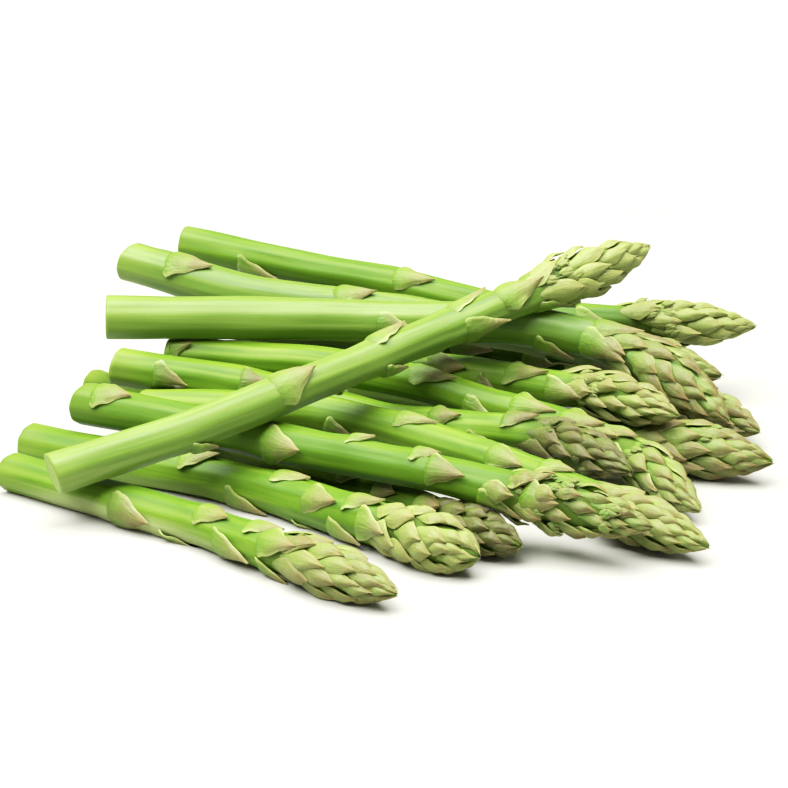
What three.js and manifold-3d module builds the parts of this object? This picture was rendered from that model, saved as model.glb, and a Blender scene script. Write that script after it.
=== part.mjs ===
// A loose heap of fourteen green asparagus spears lying on a flat surface.
//
// Millimetres, +Z up. The surface is z = 0 and the origin is the middle of the heap's footprint.
// The cut ends point to -X and the heads to +X. -Y is the front of the heap.
//
// Each spear is one closed solid: a stem, the bracts that clasp it and a head of overlapping
// scales round a slim core, all joined to one another.

import * as THREE from "three";
import { mergeVertices } from "three/addons/utils/BufferGeometryUtils.js";
import Module from "manifold-3d";

const wasm = await Module();
wasm.setup();

// ---- Driving dimensions (mm, degrees) ----

const GAP = 0.5;                 // least air between two spears that lie against each other
const GOLDEN_ANGLE = 137.5;       // turn from one head scale to the next
const ORIGIN_SHIFT = [0, -3.5, 0];  // puts the middle of the footprint on the origin

const STEM_SIDES = 9;             // sides of a stem's section
const STEM_STEP = 30;             // longest stretch of stem between two rings of points
const CUT_BEVEL = 0.5;            // small round at the edge of the cut end
const SLANT_REACH = 12;           // the slant of a cut end fades out over this length of stem
const CORE_SHARE = 0.88;          // head core radius as a share of the head's radius
const CORE_RINGS = [0.75, 0.5, 0.28, 0.12];  // where the core has rings, as shares from the tip
const CORE_SHORT = 1.5;           // the core ends this far short of the tip

const SCALE_COUNT = 12;           // scales in one head
const SCALE_FIRST_STEP = 1.0;     // tip-to-tip step of the two youngest scales
const SCALE_GROWTH = 1.14;        // each step is this many times the one before it
const SCALE_LENGTH = [6.5, 12];   // youngest and oldest scale
const SCALE_SPAN_DEG = [115, 96]; // angle that the youngest and the oldest scale span

// Faces as [share across, share along, rise over the smooth surface]: the outline from the tip
// round by one side, and the middle that it is arched up to. The root is the point under it.
const SCALE_FACE = {
  outline: [[0, 1, 0.7], [1, 0.45, -0.5], [0.8, 0.05, -0.9], [0, -0.05, -0.7],
    [-0.8, 0.05, -0.9], [-1, 0.45, -0.5]],
  middle: [0, 0.5, 0.75],
  rootAlong: 0.45,
  rootShare: 0.2,
};
const BRACT_FACE = {
  outline: [[0, 1, 0.9], [1, 0.42, 0.35], [0.9, 0, 0.35], [0, -0.05, 0.6], [-0.9, 0, 0.35],
    [-1, 0.42, 0.35]],
  middle: [0, 0.35, 1.3],
  rootAlong: 0.3,
  rootShare: 0.45,
};

// One row per spear. points: centreline from the cut end to the tip. cut and neck: stem radius at
// the cut and under the head. head: radius and length of the head, blunt: how round its tip is.
// slant: how far the front of the cut face lies up the stem. turn: angle of the first head scale.
// bracts: [distance from the cut, angle round the stem from the top toward the front, length,
// angle that the bract spans].
const SPEARS = [
  {
    name: "spear_01", cut: 6.2, neck: 5.2, head: [7.3, 50], blunt: 1.7, slant: 1.2, turn: 40,
    colour: "#8fb14c",
    points: [[-99, -42, 15.5], [-62, -33, 25], [-28, -15, 32.5], [14, 15, 40], [83.5, 59, 54.6]],
    bracts: [[20, 225, 11, 90], [39, 146, 9, 80], [67.5, 30, 15.5, 138], [88, 215, 13, 95],
      [104, -28, 16, 110], [105, 148, 10, 90], [124, 205, 14, 95], [134, -25, 18, 105],
      [135, 106, 18, 100], [150, 30, 19, 112], [162, -35, 18, 100], [163, 152, 17, 105]],
  },
  {
    name: "spear_02", cut: 7.0, neck: 6.2, head: [8.5, 52], blunt: 1.6, slant: 0, turn: 100,
    colour: "#6f9440",
    points: [[-90.6, 33, 38.7], [-45, 36, 37.3], [2, 36.5, 36.2], [46, 35.3, 34.4],
      [77, 25, 27.5], [103.3, 0.2, 15.4]],
    bracts: [[44, 250, 15, 95], [84, 92, 13, 90], [104, 215, 14, 95], [134, 138, 16, 95],
      [149, 80, 20, 92], [152, 10, 17, 90]],
  },
  {
    name: "spear_03", cut: 6.9, neck: 5.9, head: [7.5, 46], blunt: 1.6, slant: -2.5, turn: 10,
    colour: "#8db04e",
    points: [[-88.2, 88.8, 39.9], [-51, 76, 33], [-18, 69, 30.5], [15, 64, 27.5], [60, 53, 22.5],
      [105.3, 33.5, 18.6]],
    bracts: [[12, 15, 18, 125], [48, 160, 14, 95], [71, 25, 15, 95], [95, 280, 14, 95],
      [122, 60, 13, 95], [142, 190, 13, 95]],
  },
  {
    name: "spear_04", cut: 5.9, neck: 5.2, head: [7.3, 50], blunt: 1.6, slant: 0.3, turn: 70,
    colour: "#86a94a",
    points: [[-72, 107, 41], [-32, 93, 37], [2, 83, 33.5], [42, 70, 28], [81, 67, 25.5],
      [120.7, 68, 24]],
    bracts: [[21, 122, 16, 105], [58, 255, 13, 95], [75, 40, 16, 100], [98, 170, 13, 95],
      [120, 300, 13, 95], [137, 75, 15, 95], [142, 200, 13, 90]],
  },
  {
    name: "spear_05", cut: 5.5, neck: 5.3, head: [7.1, 52], blunt: 1.7, slant: -1, turn: 20,
    colour: "#86ab45",
    points: [[-70.6, 35.5, 26.2], [-46, 30.5, 25.9], [-23, 26.5, 25.3], [8, 20.5, 20.9],
      [33, 12, 16], [51, 1, 14], [68, -12, 11.5], [89.6, -46, 5]],
    bracts: [[0, 45, 8, 90], [40, 220, 12, 90], [75, 24, 17, 95], [95, 98, 14, 92],
      [110, 25, 18, 100], [127, 30, 18, 108], [128, 170, 13, 95]],
  },
  {
    name: "spear_06", cut: 6.1, neck: 5.5, head: [6.8, 44], blunt: 1.7, slant: -2, turn: 150,
    colour: "#6c8d40",
    points: [[-86.7, 22, 26.1], [-48, 21.8, 19.9], [-17, 18.8, 13.1], [2, 8.3, 12.4],
      [32, -6, 15], [50, -15, 15], [70, -37, 14]],
    bracts: [[11, 92, 12, 110], [38, 48, 9, 90], [70, 250, 12, 95], [103, 30, 13, 90],
      [116, 120, 13, 95], [127, 10, 12, 95]],
  },
  {
    name: "spear_07", cut: 5.8, neck: 5.5, head: [6.9, 44], blunt: 1.6, slant: -1.5, turn: 200,
    colour: "#8bb147",
    points: [[-78, 14, 15.5], [-48, 9, 16.6], [-17, 5, 16], [29, -23, 12.5], [54, -43, 9.5],
      [89, -73.7, 6]],
    bracts: [[30, 200, 12, 90], [58, 120, 12, 90], [81, 4, 15, 100], [100, 230, 12, 95],
      [115, 42, 15, 95], [133, 0, 12, 95], [141, 150, 12, 95]],
  },
  {
    name: "spear_08", cut: 6.2, neck: 5.5, head: [7.3, 48], blunt: 1.6, slant: -2.4, turn: 260,
    colour: "#83ab43",
    points: [[-95, 7.6, 19], [-58, -10, 18.5], [-28, -26, 18], [13, -48, 18], [41, -61, 15.5],
      [73, -76, 13]],
    bracts: [[3, 8, 15, 120], [34, 215, 12, 90], [63.5, 84, 16, 132], [91, -8, 9, 80],
      [112, 0, 10, 85], [118, 55, 14, 92], [134, 122, 16, 95], [143, 8, 13, 95],
      [148, 74, 13, 95]],
  },
  {
    name: "spear_09", cut: 6.0, neck: 5.7, head: [7.1, 46], blunt: 1.7, slant: -2, turn: 30,
    colour: "#8aa94f",
    points: [[-114.6, -14.9, 5.6], [-80, -39, 5.5], [-55, -56, 5.4], [-26, -82, 6.3],
      [2, -105, 6]],
    bracts: [[20, 250, 11, 90], [41, 100, 17, 138], [60, 152, 16, 95], [71, 8, 15, 100],
      [81, 100, 17, 100], [88, 225, 12, 95], [91, -5, 14, 95], [98, 42, 16, 95],
      [99, 135, 12, 90]],
  },
  {
    name: "spear_10", cut: 6.2, neck: 6.3, head: [8.0, 37], blunt: 2.4, slant: -0.8, turn: 310,
    colour: "#8fae55",
    points: [[-113, 9, 5.8], [-84, -6, 5.7], [-46, -25, 5.6], [-16, -48, 6.2], [4, -66, 7.2],
      [24, -83, 7.2]],
    bracts: [[22, 200, 11, 90], [54, 5, 14, 110], [72, 124, 17, 105], [87, -15, 15, 95],
      [98, 165, 11, 85], [102, 50, 15, 88], [112, 122, 15, 92], [117, 12, 15, 90],
      [122, 210, 12, 95], [124, 72, 14, 88]],
  },
  {
    name: "spear_11", cut: 5.6, neck: 5.4, head: [6.5, 38], blunt: 2.2, slant: 0.6, turn: 0,
    colour: "#71893f",
    points: [[-99, 63, 5.2], [-49, 8, 5.1], [-4, -33, 5.2], [22, -60, 6.1], [36.5, -73.3, 6.2]],
    bracts: [[50, 40, 11, 90], [90, 150, 11, 90], [120, 20, 11, 90], [135, 40, 11, 85],
      [150, 200, 11, 90], [152, 42, 13, 95]],
  },
  {
    name: "spear_12", cut: 6.0, neck: 5.8, head: [8.4, 50], blunt: 1.7, slant: -0.6, turn: 180,
    colour: "#83954f",
    points: [[-57, 54, 5.6], [10, 36, 5.5], [50, 20, 6.3], [93, -3, 7.9], [115.4, -13.5, 7.9]],
    bracts: [[40, 60, 12, 90], [80, 0, 12, 90], [106, 220, 13, 95], [120, 80, 14, 100]],
  },
  {
    name: "spear_13", cut: 6.0, neck: 5.6, head: [7.0, 46], blunt: 1.7, slant: 0.8, turn: 90,
    colour: "#7d9447",
    points: [[-54, 101, 14.5], [9, 79, 14.5], [35, 73, 12.5], [81, 56, 7.5], [115, 14, 7]],
    bracts: [[30, 200, 12, 90], [76, 55, 17, 100], [101, 62, 15, 95], [108, 190, 12, 95],
      [115, 30, 12, 90]],
  },
  {
    name: "spear_14", cut: 6.0, neck: 5.5, head: [6.9, 44], blunt: 1.7, slant: 0.5, turn: 330,
    colour: "#7c9045",
    points: [[-58, 65, 12.5], [-18, 54, 12.5], [11, 48, 16], [46, 24, 19], [65, 12.5, 20.3],
      [86.4, -8.8, 21]],
    bracts: [[40, 180, 12, 90], [72, 47, 18, 98], [93, 97, 8, 75], [84, 230, 12, 90],
      [102, 34, 17, 95], [117, 82, 16, 100]],
  },
];

// ---- Centrelines ----

const SAMPLES = 96;
const rad = THREE.MathUtils.degToRad;
const UP = new THREE.Vector3(0, 0, 1);

// A centreline as points at even curve steps, with the length from the cut end at each of them.
function centreline(points) {
  const knots = points.map((p) => new THREE.Vector3(...p));
  const curve = new THREE.CatmullRomCurve3(knots, false, "catmullrom", 0.5);
  const at = curve.getPoints(SAMPLES);
  const run = [0];
  for (let i = 1; i <= SAMPLES; i++) run.push(run[i - 1] + at[i].distanceTo(at[i - 1]));
  return { at, run, length: run[SAMPLES] };
}

// The point at length s from the cut end, with the unit vectors along, up and to the front.
function frameAt(line, s) {
  let i = 1;
  while (i < SAMPLES && line.run[i] < s) i++;
  const a = line.at[i - 1];
  const b = line.at[i];
  const along = b.clone().sub(a).normalize();
  const point = a.clone().addScaledVector(along, s - line.run[i - 1]);
  const front = along.clone().cross(UP).normalize();
  const top = front.clone().cross(along);
  return { point, along, top, front };
}

// ---- Size of a spear along its length ----

// Radius of the smooth surface that the scales and bracts lie on.
function surfaceRadius(spear, s) {
  const [headRadius, headLength] = spear.head;
  const fromTip = spear.line.length - s;
  if (fromTip >= headLength) {
    const share = Math.max(s, 0) / (spear.line.length - headLength);
    return THREE.MathUtils.lerp(spear.cut, spear.neck, share);
  }
  const h = Math.max(fromTip, 0) / headLength;
  if (h < 0.55) return headRadius * (1 - Math.pow(1 - h / 0.55, spear.blunt));
  return THREE.MathUtils.lerp(headRadius, spear.neck, THREE.MathUtils.smoothstep(h, 0.55, 1));
}

// ---- Keeping the spears apart ----

// Distance from a point to another spear's smooth surface, negative inside it.
function distanceToSurface(other, point) {
  let best = Infinity;
  for (let i = 0; i <= SAMPLES; i++) {
    const d = other.line.at[i].distanceTo(point) - other.radii[i];
    if (d < best) best = d;
  }
  return best;
}

// A point at length s, angle and radius, drawn in where it would come too near a neighbour: it may
// not be further out from its own surface than it is from the neighbour's, less the gap.
function placed(spear, s, angle, radius) {
  const f = frameAt(spear.line, s);
  const out = f.top.clone().multiplyScalar(Math.cos(angle)).addScaledVector(f.front, Math.sin(angle));
  const own = surfaceRadius(spear, s);
  let r = radius;
  for (let pass = 0; pass < 8; pass++) {
    const p = f.point.clone().addScaledVector(out, r);
    let over = 0;
    for (const other of spear.near) {
      over = Math.max(over, Math.max(r - own, 0) + GAP - distanceToSurface(other, p));
    }
    if (over < 0.01) break;
    r -= 0.55 * over;
  }
  const p = f.point.clone().addScaledVector(out, Math.max(r, 0.2));
  p.z = Math.max(p.z, 0);
  return p;
}

// ---- Solids ----

// A closed geometry as a solid, with each of its points put where the given function says.
function solidOf(geometry, place) {
  const plain = geometry.clone();
  plain.deleteAttribute("normal");
  plain.deleteAttribute("uv");
  const merged = mergeVertices(plain, 1e-4);
  const at = merged.attributes.position;
  const points = new Float32Array(at.count * 3);
  for (let i = 0; i < at.count; i++) {
    place(at.getX(i), at.getY(i), at.getZ(i)).toArray(points, i * 3);
  }
  const index = merged.index.array;
  const triangles = [];
  for (let i = 0; i < index.length; i += 3) {
    const [a, b, c] = [index[i], index[i + 1], index[i + 2]];
    if (a !== b && b !== c && c !== a) triangles.push(a, b, c);
  }
  return new wasm.Manifold(new wasm.Mesh({
    numProp: 3,
    vertProperties: points,
    triVerts: new Uint32Array(triangles),
  }));
}

// Lengths at which the stem gets a ring of points.
function ringLengths(from, to, step) {
  const count = Math.max(1, Math.ceil((to - from) / step));
  return Array.from({ length: count + 1 }, (_, i) => from + ((to - from) * i) / count);
}

// Stem and head core in one: turned round Y, then laid along the centreline.
function stemSolid(spear) {
  const headStart = spear.line.length - spear.head[1];
  const profile = [[0, 0], [spear.cut - CUT_BEVEL, 0]];
  for (const s of ringLengths(CUT_BEVEL, headStart, STEM_STEP)) {
    profile.push([surfaceRadius(spear, s), s]);
  }
  for (const share of CORE_RINGS) {
    const s = spear.line.length - spear.head[1] * share;
    profile.push([surfaceRadius(spear, s) * CORE_SHARE, s]);
  }
  profile.push([0, spear.line.length - CORE_SHORT]);
  const outline = profile.map(([r, s]) => new THREE.Vector2(r, s));
  const lathe = new THREE.LatheGeometry(outline, STEM_SIDES);
  return solidOf(lathe, (x, y, z) => {
    const radius = Math.hypot(x, z);
    if (radius < 1e-3) return frameAt(spear.line, y).point;
    const angle = Math.atan2(x, z);
    return placed(spear, y + cutShift(spear, y, angle, radius), angle, radius);
  });
}

// How far a point near the cut end moves along the stem, so that the cut face gets its slant.
function cutShift(spear, s, angle, radius) {
  const fade = Math.max(0, 1 - s / SLANT_REACH);
  return spear.slant * Math.sin(angle) * fade * (radius / spear.cut);
}

// A pointed scale or bract: a cone whose point is the root, deep in the spear, and whose base is
// the face. The face is an outline of points round a raised middle.
function leafSolid(spear, face, { start, length, turn, halfSpan }) {
  const cone = new THREE.ConeGeometry(1, 1, face.outline.length, 1);
  return solidOf(cone, (x, y, z) => {
    if (y > 0) {
      const s = start + length * face.rootAlong;
      return placed(spear, s, turn, surfaceRadius(spear, s) * face.rootShare);
    }
    const [across, along, rise] = Math.hypot(x, z) < 0.5 ? face.middle : outlinePoint(face, x, z);
    const s = start + length * along;
    return placed(spear, s, turn + halfSpan * across, surfaceRadius(spear, s) + rise);
  });
}

// The outline point that belongs to a point on the rim of the cone's base.
function outlinePoint(face, x, z) {
  const count = face.outline.length;
  const share = Math.atan2(x, z) / (2 * Math.PI) + 1;
  return face.outline[Math.round(share * count) % count];
}

function bractSolid(spear, [start, degrees, length, spanDegrees]) {
  return leafSolid(spear, BRACT_FACE, {
    start, length, turn: rad(degrees), halfSpan: rad(spanDegrees) / 2,
  });
}

// One scale of the head, number i from the tip.
function scaleSolid(spear, i) {
  const age = i / (SCALE_COUNT - 1);
  const fit = spear.head[1] / (tipGap(SCALE_COUNT - 1) + SCALE_LENGTH[1]);
  const length = THREE.MathUtils.lerp(SCALE_LENGTH[0], SCALE_LENGTH[1], age);
  const spanDegrees = THREE.MathUtils.lerp(SCALE_SPAN_DEG[0], SCALE_SPAN_DEG[1], age);
  return leafSolid(spear, SCALE_FACE, {
    start: spear.line.length - tipGap(i) * fit - length,
    length,
    turn: rad(spear.turn + GOLDEN_ANGLE * i),
    halfSpan: rad(spanDegrees) / 2,
  });
}

// Distance from the spear's tip to the tip of scale number i, before it is fitted to the head.
function tipGap(i) {
  return SCALE_FIRST_STEP * (Math.pow(SCALE_GROWTH, i) - 1) / (SCALE_GROWTH - 1);
}

// ---- The heap ----

for (const spear of SPEARS) {
  spear.line = centreline(spear.points);
  spear.radii = spear.line.run.map((s) => surfaceRadius(spear, s));
}
for (const spear of SPEARS) {
  spear.near = SPEARS.filter((other) => other !== spear && spear.line.at.some(
    (p, i) => distanceToSurface(other, p) < spear.radii[i] + 3));
}

function spearMesh(spear) {
  let solid = stemSolid(spear);
  for (const bract of spear.bracts) solid = solid.add(bractSolid(spear, bract));
  for (let i = SCALE_COUNT - 1; i >= 0; i--) solid = solid.add(scaleSolid(spear, i));
  const whole = solid.getMesh();
  const geometry = new THREE.BufferGeometry();
  geometry.setAttribute("position", new THREE.BufferAttribute(whole.vertProperties, 3));
  geometry.setIndex(new THREE.BufferAttribute(whole.triVerts, 1));
  geometry.computeVertexNormals();
  const material = new THREE.MeshStandardMaterial({
    color: spear.colour, roughness: 0.45, metalness: 0,
  });
  const mesh = new THREE.Mesh(geometry, material);
  mesh.name = spear.name;
  return mesh;
}

const heap = new THREE.Group();
for (const spear of SPEARS) heap.add(spearMesh(spear));
heap.position.set(...ORIGIN_SHIFT);

export default heap;
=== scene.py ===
"""Looks of a loose heap of fourteen green asparagus spears on a pale floor.

Each spear of the frame is replaced by one finer piece that keeps its form: a ribbed stem, thin
bracts, a head of many overlapping scales, and small side buds where scales stand off or are missing.
Lengths are millimetres unless a comment says metres, and become metres when a mesh is made.
"""

import math
from types import SimpleNamespace

import bpy
import numpy as np
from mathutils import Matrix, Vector


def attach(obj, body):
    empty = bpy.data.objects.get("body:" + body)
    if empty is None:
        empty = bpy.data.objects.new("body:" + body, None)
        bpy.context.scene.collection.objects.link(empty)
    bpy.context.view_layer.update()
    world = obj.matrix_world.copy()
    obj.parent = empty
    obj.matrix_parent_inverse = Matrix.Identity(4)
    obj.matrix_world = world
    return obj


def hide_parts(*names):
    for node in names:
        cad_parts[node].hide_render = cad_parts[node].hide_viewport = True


# ---- Driving values (mm, degrees) ----

MM = 0.001  # a millimetre in metres, Blender's unit
ORIGIN_SHIFT = (0.0, -3.5, 0.0)  # puts the middle of the footprint on the origin
SAMPLES = 240  # steps along a centreline
GOLDEN_ANGLE = 137.5  # turn from one head scale to the next
FIRST_SEED = 100  # seed of the first spear's random draws; the others count on
SHARP_EDGE = 48  # faces that meet at a larger angle keep a sharp edge
STEM, SCALE, CUT, BRACT = 0, 1, 2, 3  # material slots of a spear

# Spears that lie against each other.
GAP = 0.12  # least air between them
NEAR_BINS = 48  # stretches of a spear, each with its list of neighbours
NEAR_REACH = 6.0  # neighbours are looked for this far past the radius of the head
DRAW_STEPS = 8  # most times that a point is drawn in
DRAW_SHARE = 0.55  # share of what is missing that it is drawn in by
LEAST_RADIUS = 0.2  # no point is drawn in further than this

# Stems.
STEM_SIDES = 56
STEM_STEP = 2.2  # distance between two rings of a stem
CUT_RINGS = (0.35, 0.7, 0.9)  # rings of the cut face, as shares of the stem's radius
CUT_BEVEL = 0.45
SLANT_REACH = 12.0  # the slant of a cut end fades out over this length of stem
RIB_COUNT = 9
RIB_HEIGHT = 0.10
MOUND = (0.5, 4.0)  # height and reach of the bump where a bract leaves the stem
CORE_SHARE = 0.82  # head core radius as a share of the head's radius
CORE_SHORT = 2.0  # the core ends this far short of the tip
WIDEST_AT = 0.55  # a head is widest here, in head lengths from the tip
HEAD_START = (1.02, 0.82)  # the stem becomes the head's core between these head lengths from the tip
SHADE_TURN = (0.45, 0.75)  # its painted light and shade becomes the neck's between these shares of its length
PALE_SHADE = 2.0  # value for a pale underside: partly the stem's own pale skin, partly painted light from the floor
PALE_START = (-25.0, 40.0)  # such a side comes in between these distances from the cut
PALE_END = (55.0, 125.0)  # and fades out between these
PALE_ANGLE = 155.0  # its middle, from the top toward the front

# Bracts, scales and side buds.
BRACT_GRID = (19, 19)  # rows along and columns across
SCALE_GRID = (14, 11)
BUD_GRID = (8, 7)
SCALE_GROWTH = 1.035  # each step between scale tips is this many times the last
YOUNGEST_SCALE = (9.0, 3.5)  # length and width
OLDEST_SCALE = (17.5, 7.3)
BLUNT_OLDEST_SCALE = (13.5, 9.2)  # on a head whose value of blunt is 2 or more
USUAL_HEAD = 7.1  # radius of the head that these widths are for
FULL_RELIEF = 3.5  # scales are flatter where the head's radius is less than this
WIDEST_SCALE = 62  # most that a scale spans to each side
HEAD_RUN = 5.0  # the first scales start this far below the head
SCALE_STRAY = (9, 4)  # most that a scale is turned from its place, and more for each mm of open
SHOWN_AT = 0.65  # share of a scale's length where most of it shows
OPENING_REACH = (3.0, 2.2)  # a scale that shows this near an opening, along and around, is missing
OPENING_DEPTH = 9.0  # length of spear that the buds of an opening are spread over
BUD_SCALES = 7
BUD_TURNS = (-0.42, 0.05, 0.48)  # radians from the scale's middle to each of its buds
BUD_ROOM = 1.0  # how much more a scale with buds under it stands off
BUD_STARTS = (0.45, 0.72)  # a bud starts between these shares of its scale's length
BUD_MIDDLE = 0.58  # about the middle of those two

# Camera, floor and light.
CAMERA_TARGET = (0.0, -3.5, 25.0)
CAMERA_DISTANCE = 760.0
CAMERA_ELEVATION = 20.0
CAMERA_LENS = 114.2  # on Blender's usual sensor, 36 mm wide
CAMERA_FAR = 20.0  # metres
FLOOR_HALF = 3.0  # metres
FLOOR_DROP = 0.0001  # metres that it lies below the spears
LIGHT_PLACE = (-150, -60, 1000)
LIGHT_SIZE = (1000, 1700)  # width and depth
LIGHT_POWER = 84.0  # watts
WORLD_LIGHT = 0.30
WHITE_POINT = 1.4  # brightness that shows as white
TONE_CURVE = ((0.15, 0.155), (0.30, 0.32), (0.60, 0.60), (0.95, 0.80))  # light, and what shows

# ---- The spears ----

# Values of a spear whose row doesn't give its own.
# blunt: how round its tip is. small: size of its scales beside the usual. open: how far its older
# scales stand off. buds: how many of its oldest scales have side buds. openings: distance from the
# cut and angle of each place where its head is open. stem: material of its stem. Then the painted
# light and shade on its stem at the cut and at the neck, 0 dark, 0.5 usual, 1 light, by how much
# light falls on it. pale: how pale its underside is, partly its own pale skin, partly painted light
# from the floor. light: painted light and shade on its head, 0.5 is usual.
USUAL = {
    "blunt": 1.7, "small": 1.0, "open": 0.3, "buds": 0, "openings": (),
    "stem": "green_stem", "shade": (0.5, 0.5), "pale": 0.0, "light": 0.5,
}


def spear_row(name, slot, **own):
    """One spear's values: the usual ones, replaced or joined by its own."""
    return SimpleNamespace(name=name, slot=slot, **{**USUAL, **own})


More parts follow.
